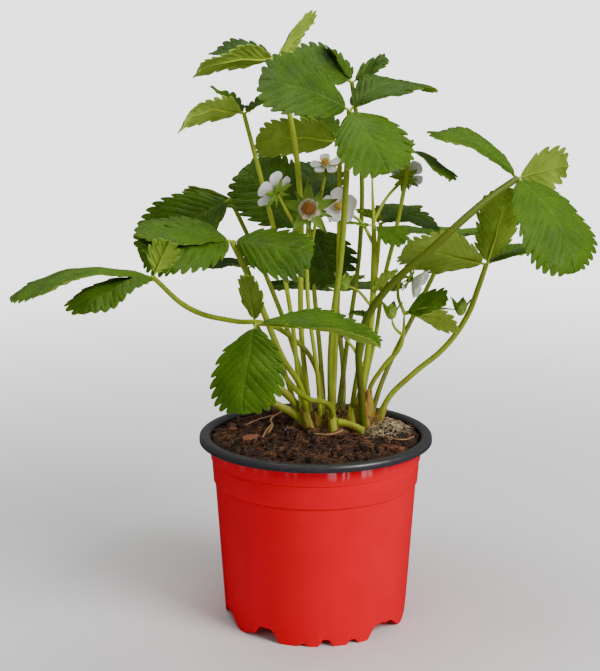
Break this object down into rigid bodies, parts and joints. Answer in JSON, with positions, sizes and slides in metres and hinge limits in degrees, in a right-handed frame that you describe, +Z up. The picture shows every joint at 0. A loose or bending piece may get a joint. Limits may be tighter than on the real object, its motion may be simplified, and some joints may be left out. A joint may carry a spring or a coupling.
{
  "type": "potted strawberry plant",
  "caption": "Strawberry plant with trifoliate leaves and white flowers, growing from a crown in the soil of a round tapered nursery pot with a rolled rim.",
  "frame": {"origin": "on the surface that the pot stands on, on the pot's axis, under the middle of the whole plant's box", "axes": "+Z up, the front with most of the flowers faces -Y, +X is on the viewer's right"},
  "size_m": [0.2931, 0.2477, 0.3354],
  "materials": {
    "leaf_green": "satin",
    "stalk_green": "satin",
    "petal_white": "matte",
    "stamen_yellow": "matte",
    "crown_brown": "matte",
    "root_straw": "matte",
    "bark_brown": "matte",
    "soil_brown": "matte",
    "pot_red": "satin"
  },
  "bodies": {
    "root": {"bark_chip_1": "bark_brown", "bark_chip_2": "bark_brown", "bark_chip_3": "bark_brown", "bark_chip_4": "bark_brown", "bloom_left_heart": "stamen_yellow", "bloom_left_petals": "petal_white", "bloom_low_heart": "stamen_yellow", "bloom_low_petals": "petal_white", "bloom_middle_heart": "stamen_yellow", "bloom_middle_petals": "petal_white", "bloom_nodding_heart": "stamen_yellow", "bloom_nodding_petals": "petal_white", "bloom_right_heart": "stamen_yellow", "bloom_right_petals": "petal_white", "bloom_spent_heart": "stamen_yellow", "bloom_withered_heart": "stamen_yellow", "bloom_withered_petals": "petal_white", "crown": "crown_brown", "leaf_back_left": "leaf_green", "leaf_back_middle": "leaf_green", "leaf_far_left": "leaf_green", "leaf_high_left": "leaf_green", "leaf_high_right": "leaf_green", "leaf_inner_right": "leaf_green", "leaf_left_front": "leaf_green", "leaf_low_front": "leaf_green", "leaf_middle": "leaf_green", "leaf_rear": "leaf_green", "leaf_rear_left": "leaf_green", "leaf_rear_right": "leaf_green", "leaf_right": "leaf_green", "leaf_small_right": "leaf_green", "leaf_top": "leaf_green", "leaf_top_back": "leaf_green", "leaf_top_left": "leaf_green", "pot": "pot_red", "root_plug": "root_straw", "soil": "soil_brown", "spray_left": "stalk_green", "spray_middle": "stalk_green", "spray_right": "stalk_green"}
  },
  "joints": []
}
